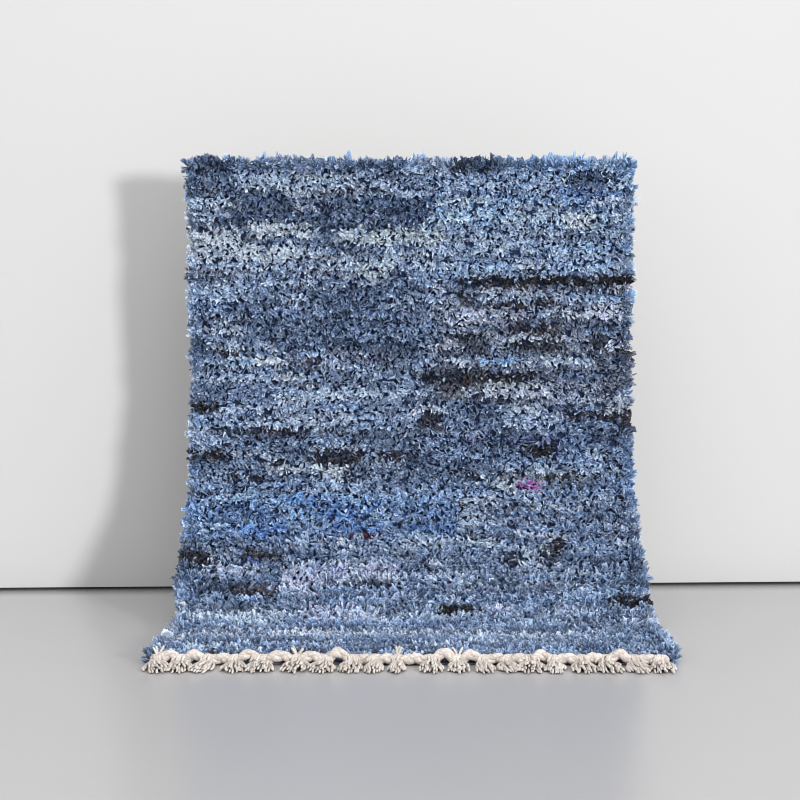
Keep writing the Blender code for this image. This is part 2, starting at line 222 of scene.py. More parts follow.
def ragCloth():
    # Dyed cotton rags, torn in strips and crumpled: matte, with painted shade down in the pile and in
    # their creases, paler on the crests from wear and painted highlight, and paler along the torn edges,
    # where white threads fray out. In the UV map the whole part of u differs from strip to strip, so
    # that each strip has creases of its own.
    material, tree, shader = startMaterial("tornCottonRag", rag["roughness"], rag["sheen"])
    shader.inputs["Specular IOR Level"].default_value = rag["gloss"]
    dye = addNode(tree, "ShaderNodeAttribute", attribute_name="clothColour")
    lie = addNode(tree, "ShaderNodeUVMap", uv_map="lie")
    parts = addNode(tree, "ShaderNodeSeparateXYZ", {"Vector": lie.outputs[0]})
    acrossStrip = addNode(tree, "ShaderNodeMath", {0: parts.outputs[0]}, operation="FRACT")
    fromMiddle = addNode(tree, "ShaderNodeMath", {0: acrossStrip.outputs[0], 1: 2.0, 2: -1.0},
                         operation="MULTIPLY_ADD")
    toSide = addNode(tree, "ShaderNodeMath", {0: fromMiddle.outputs[0]}, operation="ABSOLUTE")
    nearSide = addNode(tree, "ShaderNodeMath", {0: toSide.outputs[0], 1: rag["sideFray"]},
                       operation="MULTIPLY")
    toEdge = addNode(tree, "ShaderNodeMath", {0: nearSide.outputs[0], 1: parts.outputs[1]},
                     operation="MAXIMUM")
    fray = addNode(tree, "ShaderNodeMapRange",
                   {"Value": toEdge.outputs[0], "From Min": rag["frayStart"], "From Max": 1.0})

    stretched = addNode(tree, "ShaderNodeMapping",
                        {"Vector": lie.outputs[0],
                         "Scale": (rag["creasesAcross"], rag["creasesAlong"], 1.0)})
    crease = addNode(tree, "ShaderNodeTexNoise",
                     {"Vector": stretched.outputs[0], "Scale": 1.0, "Detail": 2.0, "Roughness": 0.6},
                     noise_dimensions="2D")
    # painted shade: darker in the valleys of the creases
    valley = addNode(tree, "ShaderNodeMapRange",
                     {"Value": crease.outputs[0],
                      "From Min": rag["valleyIn"][0], "From Max": rag["valleyIn"][1],
                      "To Min": rag["creaseShade"], "To Max": 1.0})
    # wear and painted highlight: paler on the crests of the creases
    crest = addNode(tree, "ShaderNodeMapRange",
                    {"Value": crease.outputs[0],
                     "From Min": rag["crestIn"][0], "From Max": rag["crestIn"][1]})
    # painted shade: darker towards the root, down in the pile
    depth = addNode(tree, "ShaderNodeMapRange",
                    {"Value": parts.outputs[1],
                     "From Min": rag["shadedTo"][0], "From Max": rag["shadedTo"][1],
                     "To Min": rag["rootShade"], "To Max": 1.0})
    paleShare = addNode(tree, "ShaderNodeMath", {0: fray.outputs[0], 1: crest.outputs[0]},
                        operation="MAXIMUM")
    unfrayed = addNode(tree, "ShaderNodeMath", {0: valley.outputs[0], 1: fray.outputs[0]},
                       operation="MAXIMUM")
    shade = addNode(tree, "ShaderNodeMath", {0: unfrayed.outputs[0], 1: depth.outputs[0]},
                    operation="MULTIPLY")
    lift = addNode(tree, "ShaderNodeMath", {0: paleShare.outputs[0], 1: rag["wearAndHighlightGain"] - 1.0, 2: 1.0},
                   operation="MULTIPLY_ADD")
    factor = addNode(tree, "ShaderNodeMath", {0: lift.outputs[0], 1: shade.outputs[0]},
                     operation="MULTIPLY")
    powers = [addNode(tree, "ShaderNodeMath", {0: factor.outputs[0], 1: power}, operation="POWER")
              for power in rag["shadePower"]]
    tint = addNode(tree, "ShaderNodeCombineXYZ", {i: power.outputs[0] for i, power in enumerate(powers)})
    threadShare = addNode(tree, "ShaderNodeMath", {0: paleShare.outputs[0], 1: rag["threadShow"]},
                          operation="MULTIPLY")
    # white thread shows on the torn edges and the crests, where it is wear and painted highlight
    threadMix = addNode(tree, "ShaderNodeMix",
                   {"Factor": threadShare.outputs[0], 6: dye.outputs["Color"], 7: rgba(rag["whiteThread"])},
                   data_type="RGBA")
    shaded = addNode(tree, "ShaderNodeVectorMath", {0: threadMix.outputs[2], 1: tint.outputs[0]},
                     operation="MULTIPLY")
    palest = toLinear(rag["palest"]).tolist()
    limited = addNode(tree, "ShaderNodeVectorMath", {0: shaded.outputs[0], 1: palest}, operation="MINIMUM")

    turned = addNode(tree, "ShaderNodeMapping",
                     {"Vector": lie.outputs[0], "Rotation": (0.0, 0.0, math.radians(40))})
    # a strip is 1 wide in the UV map, where a wave texture of scale 1 has about pi waves
    twill = addNode(tree, "ShaderNodeTexWave",
                    {"Vector": turned.outputs[0], "Scale": rag["threadsAcross"] / math.pi,
                     "Distortion": 1.2, "Detail": 1.0})
    crumpled = addNode(tree, "ShaderNodeBump",
                       {"Height": crease.outputs[0], "Strength": 0.7, "Distance": rag["creaseRise"]})
    raised = addNode(tree, "ShaderNodeBump",
                     {"Height": twill.outputs[1], "Strength": 0.4, "Distance": rag["threadRise"],
                      "Normal": crumpled.outputs[0]})
    tree.links.new(limited.outputs[0], shader.inputs["Base Color"])
    tree.links.new(raised.outputs[0], shader.inputs["Normal"])
    return material


yarn = {
    "roughness": 0.92,
    "sheen": 0.20,
    "grooveShade": 0.80,  # of the yarn's colour, in the groove between two plies
    "plies": 3,
    "plyTurn": 0.006,  # the way along the yarn in which its plies go round once
    "plyRise": 0.0004,
    "fuzzScale": 700.0,  # of a noise per metre, so the fuzz is about 1.5 mm across
    "shades": ("#ddd4cd", "#d6cdc6", "#cdc3bb", "#e3dcd6"),
}


def cottonYarn():
    # Undyed cotton yarn, spun and plied: warm off-white and matte, with slanting grooves between its
    # plies. The slant comes from the turn round the yarn plus the way along it.
    material, tree, shader = startMaterial("pliedRawCotton", yarn["roughness"], yarn["sheen"])
    dye = addNode(tree, "ShaderNodeAttribute", attribute_name="clothColour")
    lie = addNode(tree, "ShaderNodeUVMap", uv_map="lie")
    parts = addNode(tree, "ShaderNodeSeparateXYZ", {"Vector": lie.outputs[0]})
    slant = addNode(tree, "ShaderNodeMath",
                    {0: parts.outputs[0], 1: yarn["plies"], 2: parts.outputs[1]},
                    operation="MULTIPLY_ADD")
    turn = addNode(tree, "ShaderNodeMath", {0: slant.outputs[0], 1: 2 * math.pi}, operation="MULTIPLY")
    wave = addNode(tree, "ShaderNodeMath", {0: turn.outputs[0]}, operation="SINE")
    groove = addNode(tree, "ShaderNodeMapRange",
                     {"Value": wave.outputs[0], "From Min": -1.0, "From Max": 0.2,
                      "To Min": yarn["grooveShade"], "To Max": 1.0})
    placeIn = addNode(tree, "ShaderNodeTexCoord")
    fuzz = addNode(tree, "ShaderNodeTexNoise",
                   {"Vector": placeIn.outputs["Object"], "Scale": yarn["fuzzScale"], "Detail": 2.0})
    shadeOf = addNode(tree, "ShaderNodeVectorMath",
                      {0: dye.outputs["Color"], "Scale": groove.outputs[0]}, operation="SCALE")
    height = addNode(tree, "ShaderNodeMath", {0: fuzz.outputs[0], 1: 0.6, 2: wave.outputs[0]},
                     operation="MULTIPLY_ADD")
    raised = addNode(tree, "ShaderNodeBump",
                     {"Height": height.outputs[0], "Strength": 0.5, "Distance": yarn["plyRise"]})
    tree.links.new(shadeOf.outputs[0], shader.inputs["Base Color"])
    tree.links.new(raised.outputs[0], shader.inputs["Normal"])
    return material


weave = {
    "roughness": 0.93,
    "sheen": 0.15,
    "ribPitch": 0.005,
    "columns": 12,
    "crest": 0.0011,  # off the back plane, so that the backs of the knots reach it
    "groove": 0.0019,
    "face": 0.0040,
    "warpPitch": 0.004,
    "backColour": "#d4cabb",
    # the face, deep under the pile: the rags' blue, made near-black as painted shade
    "faceShadedColour": "#1f2e4f",
}


def groundWeave():
    # Plain weave of raw cotton with a thick weft: matte ribs across the back, pinched by the warp.
    material, tree, shader = startMaterial("ribbedCottonWeave", weave["roughness"], weave["sheen"])
    dye = addNode(tree, "ShaderNodeAttribute", attribute_name="clothColour")
    lie = addNode(tree, "ShaderNodeUVMap", uv_map="lie")
    # the UV map holds metres across and along, so one warp pitch is one wave
    pinch = addNode(tree, "ShaderNodeTexWave",
                    {"Vector": lie.outputs[0], "Scale": math.pi / 10 / weave["warpPitch"],
                     "Distortion": 0.6, "Detail": 1.0})
    uneven = addNode(tree, "ShaderNodeTexNoise", {"Vector": lie.outputs[0], "Scale": 60.0, "Detail": 4.0})
    tone = addNode(tree, "ShaderNodeMath", {0: pinch.outputs[1], 1: 0.16, 2: 0.70},
                   operation="MULTIPLY_ADD")
    toneAll = addNode(tree, "ShaderNodeMath", {0: uneven.outputs[0], 1: 0.30, 2: tone.outputs[0]},
                      operation="MULTIPLY_ADD")
    shadeOf = addNode(tree, "ShaderNodeVectorMath",
                      {0: dye.outputs["Color"], "Scale": toneAll.outputs[0]}, operation="SCALE")
    raised = addNode(tree, "ShaderNodeBump",
                     {"Height": pinch.outputs[1], "Strength": 0.6, "Distance": 0.0006})
    tree.links.new(shadeOf.outputs[0], shader.inputs["Base Color"])
    tree.links.new(raised.outputs[0], shader.inputs["Normal"])
    return material


# The rags: what cloths there are, and where each is tied in

cloths = {
    "ink": "#1c2a41", "midnight": "#384d6f", "navy": "#4d668a", "indigo": "#637ea3",
    "denim": "#7794bb", "steel": "#8ca8ce", "washed": "#a4bddf", "faded": "#b8cdea",
    "ice": "#cfe0f6", "chalk": "#e0eaf6", "slate": "#6f819e", "smoke": "#9aabc6",
    "dove": "#c4cee3", "royal": "#5688d1", "cobalt": "#3d6bd7", "hyacinth": "#6c90c1",
    "cornflower": "#8aadd9", "sky": "#a7c6ea", "periwinkle": "#aebcea", "lilac": "#c0c5e4",
    "purple": "#656e9f", "mint": "#d4e8ed", "aqua": "#a6d0e5", "soot": "#11141a",
    "umber": "#33292b", "olive": "#596666", "maroon": "#5d354a", "magenta": "#b573b9",
}
bundles = {
    # parts of each cloth in a bundle of rags
    "common": {"denim": 16, "indigo": 14, "steel": 17, "washed": 14, "slate": 6, "faded": 9, "navy": 10,
               "smoke": 4, "dove": 3, "midnight": 6, "ice": 3, "cornflower": 4},
    "deeps": {"navy": 20, "indigo": 24, "denim": 22, "steel": 16, "washed": 8, "slate": 8, "faded": 4,
              "midnight": 6},
    "greys": {"slate": 18, "smoke": 16, "denim": 12, "steel": 12, "dove": 8, "navy": 12, "washed": 8,
              "midnight": 8, "faded": 4, "umber": 2},
    "cornflowers": {"cornflower": 28, "hyacinth": 18, "sky": 18, "washed": 14, "steel": 8, "faded": 8,
                    "royal": 4, "indigo": 6},
    "nights": {"navy": 32, "midnight": 22, "indigo": 24, "slate": 10, "denim": 10, "purple": 2},
    "pales": {"chalk": 60, "ice": 26, "faded": 10, "dove": 4},
    "skies": {"sky": 34, "faded": 30, "ice": 16, "aqua": 8, "washed": 12},
    "dusks": {"slate": 20, "smoke": 18, "dove": 13, "midnight": 10, "umber": 7, "steel": 12, "indigo": 8,
              "navy": 7, "soot": 2, "ice": 5, "washed": 6},
    "soots": {"soot": 80, "umber": 8, "ink": 12},
    "umbers": {"umber": 36, "soot": 16, "midnight": 20, "slate": 16, "denim": 12},
    "royals": {"royal": 16, "cornflower": 30, "hyacinth": 36, "sky": 10, "steel": 8},
    "periwinkles": {"periwinkle": 50, "faded": 24, "lilac": 16, "ice": 10},
    "lilacs": {"lilac": 26, "dove": 26, "slate": 22, "ice": 12, "smoke": 14},
    "mints": {"mint": 54, "chalk": 26, "ice": 12, "faded": 8},
    "steels": {"steel": 30, "washed": 26, "faded": 22, "ice": 10, "indigo": 10},
    "olives": {"olive": 40, "soot": 36, "smoke": 24},
    "chalks": {"chalk": 1},
    "magentas": {"magenta": 1},
    "maroons": {"maroon": 1},
    "cobalts": {"cobalt": 1},
    "blues": {"cornflower": 24, "washed": 22, "steel": 16, "hyacinth": 16, "faded": 12, "sky": 10},
}
patches = (
    # left, right, top, bottom, bundle: metres from the middle and down the rug; a later row lies over
    # an earlier one
    (-0.52, -0.40, -0.02, 0.065, "nights"),
    (-0.42, 0.04, 0.075, 0.140, "nights"),
    (-0.52, -0.42, 0.080, 0.140, "greys"),
    (0.05, 0.52, -0.02, 0.150, "cornflowers"),
    (0.09, 0.20, -0.02, 0.020, "nights"),
    (0.36, 0.48, 0.020, 0.055, "nights"),
    (0.02, 0.52, 0.150, 0.268, "blues"),
    (-0.40, -0.10, 0.020, 0.056, "skies"),
    (-0.29, -0.24, 0.050, 0.075, "pales"),
    (-0.50, -0.41, 0.066, 0.084, "skies"),
    (-0.26, -0.21, 0.084, 0.102, "steels"),
    (-0.37, -0.23, 0.130, 0.160, "pales"),
    (-0.50, -0.38, 0.148, 0.180, "pales"),
    (-0.52, -0.23, 0.185, 0.222, "pales"),
    (-0.40, -0.30, 0.222, 0.240, "skies"),
    (-0.17, 0.07, 0.148, 0.180, "mints"),
    (-0.22, -0.03, 0.204, 0.240, "skies"),
    (-0.12, -0.05, 0.222, 0.264, "mints"),
    (-0.16, 0.06, 0.270, 0.288, "nights"),
    (-0.52, -0.38, 0.275, 0.330, "cornflowers"),
    (-0.38, 0.06, 0.300, 0.400, "deeps"),
    (-0.52, 0.06, 0.640, 0.760, "deeps"),
    (0.35, 0.43, 0.112, 0.150, "pales"),
    (0.25, 0.31, 0.215, 0.240, "pales"),
    (0.06, 0.52, 0.268, 0.760, "dusks"),
    (0.06, 0.52, 0.560, 0.760, "deeps"),
    (0.14, 0.48, 0.628, 0.646, "nights"),
    (0.12, 0.52, 0.262, 0.276, "soots"),
    (0.16, 0.28, 0.289, 0.310, "steels"),
    (0.11, 0.15, 0.285, 0.335, "umbers"),
    (0.40, 0.51, 0.289, 0.307, "royals"),
    (0.15, 0.33, 0.307, 0.326, "umbers"),
    (0.10, 0.22, 0.328, 0.372, "lilacs"),
    (0.34, 0.49, 0.328, 0.352, "lilacs"),
    (0.22, 0.50, 0.368, 0.386, "umbers"),
    (0.22, 0.40, 0.386, 0.402, "lilacs"),
    (0.06, 0.16, 0.392, 0.412, "umbers"),
    (0.24, 0.36, 0.402, 0.420, "umbers"),
    (0.41, 0.46, 0.382, 0.450, "umbers"),
    (0.16, 0.26, 0.445, 0.470, "royals"),
    (0.30, 0.42, 0.445, 0.470, "steels"),
    (0.02, 0.09, 0.452, 0.472, "umbers"),
    (0.02, 0.27, 0.472, 0.492, "soots"),
    (0.27, 0.36, 0.474, 0.492, "umbers"),
    (0.17, 0.32, 0.494, 0.520, "pales"),
    (-0.50, 0.02, 0.402, 0.420, "nights"),
    (-0.46, -0.30, 0.402, 0.420, "steels"),
    (-0.24, -0.19, 0.402, 0.420, "royals"),
    (-0.43, -0.38, 0.420, 0.440, "umbers"),
    (-0.28, -0.20, 0.440, 0.460, "umbers"),
    (-0.36, -0.28, 0.440, 0.460, "pales"),
    (-0.12, 0.00, 0.448, 0.470, "umbers"),
    (-0.31, -0.25, 0.480, 0.502, "chalks"),
    (-0.30, 0.00, 0.508, 0.550, "steels"),
    (0.13, 0.33, 0.518, 0.534, "lilacs"),
    (0.14, 0.21, 0.532, 0.550, "umbers"),
    (0.44, 0.51, 0.548, 0.566, "pales"),
    (0.21, 0.31, 0.556, 0.572, "pales"),
    (0.03, 0.08, 0.560, 0.580, "pales"),
    (0.36, 0.52, 0.580, 0.602, "umbers"),
    (0.03, 0.08, 0.580, 0.602, "umbers"),
    (0.17, 0.21, 0.580, 0.602, "umbers"),
    (0.27, 0.34, 0.650, 0.684, "soots"),
    (0.41, 0.46, 0.668, 0.688, "skies"),
    (0.20, 0.42, 0.710, 0.740, "olives"),
    (0.10, 0.17, 0.726, 0.744, "umbers"),
    (0.25, 0.29, 0.738, 0.756, "magentas"),
    (0.18, 0.25, 0.740, 0.764, "mints"),
    (-0.52, -0.44, 0.548, 0.568, "soots"),
    (-0.50, -0.20, 0.592, 0.612, "steels"),
    (-0.42, -0.20, 0.612, 0.634, "umbers"),
    (-0.14, 0.00, 0.618, 0.642, "umbers"),
    (-0.50, -0.42, 0.660, 0.684, "soots"),
    (-0.22, -0.10, 0.664, 0.686, "umbers"),
    (-0.07, 0.03, 0.664, 0.686, "umbers"),
    (-0.34, -0.28, 0.684, 0.704, "soots"),
    (-0.24, -0.12, 0.684, 0.702, "umbers"),
    (-0.52, -0.44, 0.694, 0.712, "umbers"),
    (-0.32, -0.24, 0.702, 0.724, "pales"),
    (-0.21, -0.14, 0.702, 0.730, "pales"),
    (-0.42, -0.30, 0.726, 0.746, "umbers"),
    (-0.52, 0.10, 0.780, 0.890, "royals"),
    (-0.52, 0.04, 0.965, 1.110, "deeps"),
    (-0.11, -0.07, 0.858, 0.878, "maroons"),
    (0.10, 0.15, 0.800, 0.872, "skies"),
    (0.12, 0.20, 0.878, 0.906, "mints"),
    (0.31, 0.35, 0.894, 0.924, "soots"),
    (-0.50, -0.43, 0.930, 0.950, "umbers"),
    (-0.38, -0.28, 0.930, 0.950, "umbers"),
    (-0.24, -0.17, 0.930, 0.950, "nights"),
    (-0.36, -0.33, 0.942, 0.962, "cobalts"),
    (0.16, 0.50, 0.925, 1.010, "deeps"),
    (0.20, 0.34, 0.925, 0.960, "umbers"),
    (0.25, 0.29, 0.930, 0.958, "periwinkles"),
    (-0.46, -0.34, 0.966, 1.004, "periwinkles"),
    (-0.28, -0.02, 0.966, 1.012, "periwinkles"),
    (-0.14, -0.11, 0.890, 0.970, "skies"),
    (-0.14, -0.02, 1.020, 1.038, "umbers"),
    (-0.48, -0.36, 1.022, 1.042, "umbers"),
    (-0.38, -0.29, 1.040, 1.062, "umbers"),
    (-0.28, -0.20, 1.022, 1.078, "periwinkles"),
    (0.04, 0.52, 1.010, 1.110, "deeps"),
    (0.10, 0.40, 1.032, 1.050, "greys"),
    (0.43, 0.52, 1.078, 1.102, "soots"),
    (0.33, 0.36, 1.080, 1.120, "periwinkles"),
    (0.06, 0.14, 1.112, 1.138, "soots"),
    (0.15, 0.22, 1.100, 1.130, "periwinkles"),
    (-0.22, -0.07, 1.108, 1.180, "periwinkles"),
    (-0.49, -0.28, 1.148, 1.176, "skies"),
    (0.40, 0.46, 1.144, 1.176, "nights"),
    (-0.52, 0.52, 1.176, 1.540, "deeps"),
    (-0.52, 0.30, 1.250, 1.330, "greys"),
    (-0.50, 0.52, 1.215, 1.235, "nights"),
    (-0.52, 0.46, 1.360, 1.380, "nights"),
    (-0.25, -0.20, 1.310, 1.370, "nights"),
    (0.10, 0.40, 1.260, 1.400, "common"),
    (-0.50, -0.45, 1.320, 1.360, "mints"),
    (-0.45, -0.39, 1.440, 1.540, "cornflowers"),
    (-0.39, -0.33, 1.475, 1.540, "umbers"),
    (-0.23, -0.17, 1.475, 1.540, "umbers"),
    (0.02, 0.07, 1.460, 1.540, "umbers"),
    (0.32, 0.39, 1.420, 1.510, "nights"),
)
knots = {
    "rowPitch": 0.0185,
    "acrossPitch": 0.0110,
    "runOfKnots": (3, 13),  # neighbouring knots tied from one strip of cloth
    "clothContrast": 0.60,  # how far a cloth differs from its bundle's average
    "shadeSpread": 0.10,
    "driftEvery": (0.110, 0.030),  # metres across and along over which the rags get paler or darker
    "driftSpread": 0.14,
    "rowSpread": 0.07,  # how far one row differs from the next
    "rowShade": (1.06, 0.91),  # upper and lower row of each pair, the lower one in the other's shade
    "brightest": 0.9,
}
rowCount = round(rugLength / knots["rowPitch"])
knotCount = round(rug["wovenWidth"] / knots["acrossPitch"])
rowPitch = rugLength / rowCount
knotPitch = rug["wovenWidth"] / knotCount


def bundleAt(across, along):
    chosen = "common"
    for left, right, top, bottom, name in patches:
        if left <= across < right and top <= along < bottom:
            chosen = name
    return chosen


def tieKnots(rng):
    # the colour of each knot: along a row, runs of knots share one cloth, drawn from the bundle there
    chart = np.zeros((rowCount, knotCount, 3))
    dyes = {name: toLinear(value) for name, value in cloths.items()}
    for row in range(rowCount):
        along = (row + 0.5) * rowPitch
        names = [bundleAt((knot + 0.5) * knotPitch - halfWidth, along) for knot in range(knotCount)]
        knot = 0
        while knot < knotCount:
            bundle = bundles[names[knot]]
            shares = np.array(list(bundle.values()), dtype=float)
            cloth = rng.choice(list(bundle), p=shares / shares.sum())
            end = knot + 1
            longest = min(knot + rng.integers(*knots["runOfKnots"]), knotCount)
            while end < longest and names[end] == names[knot]:
                end += 1
            average = sum(dyes[name] * share for name, share in bundle.items()) / shares.sum()
            chart[row, knot:end] = average + knots["clothContrast"] * (dyes[cloth] - average)
            knot = end
    everyAcross, everyAlong = knots["driftEvery"]
    stops = (round(rugLength / everyAlong), round(2 * halfWidth / everyAcross))
    coarse = rng.normal(0.0, knots["driftSpread"], stops)
    stopsAcross = np.linspace(0, knotCount - 1, coarse.shape[1])
    stopsAlong = np.linspace(0, rowCount - 1, coarse.shape[0])
    drift = np.array([np.interp(np.arange(knotCount), stopsAcross, line) for line in coarse])
    drift = np.array([np.interp(np.arange(rowCount), stopsAlong, line) for line in drift.T]).T
    shade = np.exp(drift[..., None] + rng.normal(0.0, knots["shadeSpread"], (rowCount, knotCount, 1)))
    # each row's own random tone, times painted shade on the lower row of each pair
    rowToneAndShade = np.exp(rng.normal(0.0, knots["rowSpread"], rowCount))
    rowToneAndShade = rowToneAndShade * np.resize(knots["rowShade"], rowCount)
    return chart * shade * rowToneAndShade[:, None, None]


knotRandom = np.random.default_rng(5)
knotColours = tieKnots(knotRandom)
print("knots tied:", rowCount, "rows of", knotCount)


# The pile

pile = {
    "stripsPerRow": 640,
    "bands": 5,
    "startOff": 0.0085,
    "rootSpread": 0.0045,
    "longLength": (0.0145, 0.0200),  # on the upper row of each pair, which makes the ridge
    "shortLength": (0.0110, 0.0160),
    "width": (0.0034, 0.0077),
    "flakeShare": 0.14,  # wide strips that lie over and show their face
    "flakeWidth": 1.7,
    "flakeLean": 0.55,
    "hangDroop": 0.28,
    "knotLean": 0.30,
    "ownLean": 0.47,
    "floorLean": 0.55,  # more on the stretch that lies on the floor
    "bendOver": (-0.1, 0.75),
    "bendPower": 1.4,  # 1 is an even arc, more keeps the bend for the torn end
    "clumpKnots": 2,  # the strips of this many knots turn the same way
    "ownTurn": 0.45,
    "twist": 0.4,
    "waveCount": (0.35, 1.15),
    "waveDepth": (0.0006, 0.0018),
    "rootWave": 0.4,  # how deep the wave is at the root, of its depth at the torn end
    "endSlant": 0.0016,
    "lowest": 0.0008,
    "knotBlur": 0.8,  # how many knots away a strip may take its colour from
    "otherRowShare": 0.03,
    "strayShare": 0.04,
    "stripShade": 0.15,
}
alongShares = np.linspace(0.0, 1.0, 3)
acrossShares = np.linspace(-1.0, 1.0, 4)


def ragStrips(root, lean, heading, length, turn, bend, width, colour, rng):
    # Each strip is a grid of 3 points along by 4 across. Its middle line starts at the root, leans by an
    # angle towards its heading, and bends further over on its way to the end. Its cross-section is a
    # wave that opens towards the torn end. Seen from in front of the weave, it is turned by an angle
    # from the way across the rug.
    count = len(root)
    isFlake = rng.random(count) < pile["flakeShare"]
    lean = np.where(isFlake, lean + pile["flakeLean"], lean)
    bendOver = rng.uniform(*bend, (count, 1))
    angle = lean[:, None] + bendOver * alongShares ** pile["bendPower"]
    halfway = (alongShares[1:] + alongShares[:-1]) / 2
    between = lean[:, None] + bendOver * halfway ** pile["bendPower"]
    towards = np.stack([np.cos(heading), np.sin(heading), np.zeros(count)], axis=-1)[:, None]
    outward = np.array((0.0, 0.0, 1.0))
    steps = np.sin(between)[..., None] * towards + np.cos(between)[..., None] * outward
    steps = steps * (length / (len(alongShares) - 1))[:, None, None]
    middle = root[:, None] + np.concatenate([np.zeros((count, 1, 3)), np.cumsum(steps, axis=1)], axis=1)

    beside = np.cross(outward, towards)
    over = np.cos(angle)[..., None] * towards - np.sin(angle)[..., None] * outward
    twist = rng.normal(0.0, pile["twist"], (count, 1)) * alongShares
    roll = (turn - heading - math.pi / 2)[:, None] + twist
    widthways = np.cos(roll)[..., None] * beside + np.sin(roll)[..., None] * over
    facing = np.cos(roll)[..., None] * over - np.sin(roll)[..., None] * beside

    half = rng.uniform(*width, (count, 1, 1)) / 2
    half = np.where(isFlake[:, None, None], half * pile["flakeWidth"], half)
    waves = rng.uniform(*pile["waveCount"], (count, 1, 1))
    phase = rng.uniform(-math.pi, math.pi, (count, 1, 1))
    opening = pile["rootWave"] + (1 - pile["rootWave"]) * alongShares[:, None]
    depth = rng.uniform(*pile["waveDepth"], (count, 1, 1)) * opening
    rise = depth * np.sin(2 * math.pi * waves * acrossShares + phase)
    slant = rng.normal(0.0, pile["endSlant"], (count, 1, 1)) * acrossShares
    ragged = rng.normal(0.0, pile["endSlant"] / 2, (count, 1, len(acrossShares)))
    atEnd = (alongShares == 1.0)[:, None]
    endward = (steps[:, -1] / np.linalg.norm(steps[:, -1], axis=-1, keepdims=True))[:, None, None]
    points = (middle[:, :, None]
              + widthways[:, :, None] * (half * acrossShares)[..., None]
              + facing[:, :, None] * rise[..., None]
              + endward * ((slant + ragged) * atEnd)[..., None])
    off = np.maximum(points[..., 2], pile["lowest"])
    placed = place(points[..., 0], points[..., 1], off).reshape(-1, 3)
    placed[:, 2] = np.maximum(placed[:, 2], pile["lowest"])
    u = (acrossShares + 1) / 2 + rng.integers(0, 900, (count, 1, 1))
    uv = np.stack(np.broadcast_arrays(u, alongShares[:, None]), axis=-1).reshape(-1, 2)
    perPoint = np.repeat(colour, len(alongShares) * len(acrossShares), axis=0)
    return placed, gridFaces(count, len(alongShares), len(acrossShares)), uv, perPoint


def coloursAt(across, row, rng):
    # a strip has its knot's colour, but for a few that come from a neighbour or elsewhere
    knot = (across + halfWidth) / knotPitch + rng.normal(0.0, pile["knotBlur"], len(across))
    elsewhere = rng.random(len(across)) < pile["otherRowShare"]
    row = np.where(elsewhere, row + rng.integers(-1, 2, len(across)), row)
    stray = rng.random(len(across)) < pile["strayShare"]
    row = np.where(stray, rng.integers(0, rowCount, len(across)), row)
    row = np.clip(row, 0, rowCount - 1).astype(int)
    knot = np.clip(knot, 0, knotCount - 1).astype(int)
    shade = np.exp(rng.normal(0.0, pile["stripShade"], (len(across), 1)))
    return np.clip(knotColours[row, knot] * shade, 0.0, knots["brightest"])


def pileBand(name, rows, material, rng):
    count = pile["stripsPerRow"]
    row = np.repeat(rows, count)
    spot = np.tile(np.arange(count), len(rows)) + rng.uniform(0.0, 1.0, len(row))
    along = (row + 0.5) * rowPitch + rng.normal(0.0, pile["rootSpread"], len(row))
    left, right = sideLine(along, -1), sideLine(along, 1)
    across = left + (right - left) * spot / count
    hangs = np.cos(turnAt(along))
    knot = np.clip((across + halfWidth) / knotPitch, 0, knotCount - 1).astype(int)
    knotLean = rng.normal(0.0, pile["knotLean"], (rowCount, knotCount, 2))[row, knot]
    clump = knot // pile["clumpKnots"]
    turn = rng.uniform(0.0, math.pi, (rowCount, knotCount))[row, clump]
    turn = turn + rng.normal(0.0, pile["ownTurn"], len(row))
    ownLean = pile["ownLean"] + pile["floorLean"] * (1.0 - hangs)
    leanAcross = knotLean[:, 0] + ownLean * rng.normal(0.0, 1.0, len(row))
    leanDown = knotLean[:, 1] + ownLean * rng.normal(0.0, 1.0, len(row)) + pile["hangDroop"] * hangs
    lean = np.arctan(np.hypot(leanAcross, leanDown))
    heading = np.arctan2(leanDown, leanAcross)
    isLong = row % 2 == 0
    long, short = pile["longLength"], pile["shortLength"]
    length = np.where(isLong, rng.uniform(*long, len(row)), rng.uniform(*short, len(row)))
    root = np.stack([across, along, np.full(len(row), pile["startOff"])], axis=-1)
    colour = coloursAt(across, row, rng)
    shape = ragStrips(root, lean, heading, length, turn, pile["bendOver"], pile["width"], colour, rng)
    return makePiece(name, *shape, material)


rim = {
    "spacing": 0.0009,
    "sideLength": (0.015, 0.025),
    "topLength": (0.018, 0.031),
    "width": (0.0054, 0.0112),
    "lumpPitch": 0.021,  # the edge comes and goes over this length
    "lumps": (0.70, 1.25),
    "lean": (1.30, 0.30),  # average and spread
    "leanLimits": (0.3, 1.57),
    "bend": (-2.4, -0.3),  # it leaves the edge outwards and turns up into the pile's own way
    "swing": 0.35,
    "headingSpread": 0.70,
    "ownTurn": 0.60,  # from lying with its face outwards
    "rootIn": (0.001, 0.013),
    "startOff": (0.003, 0.017),
}


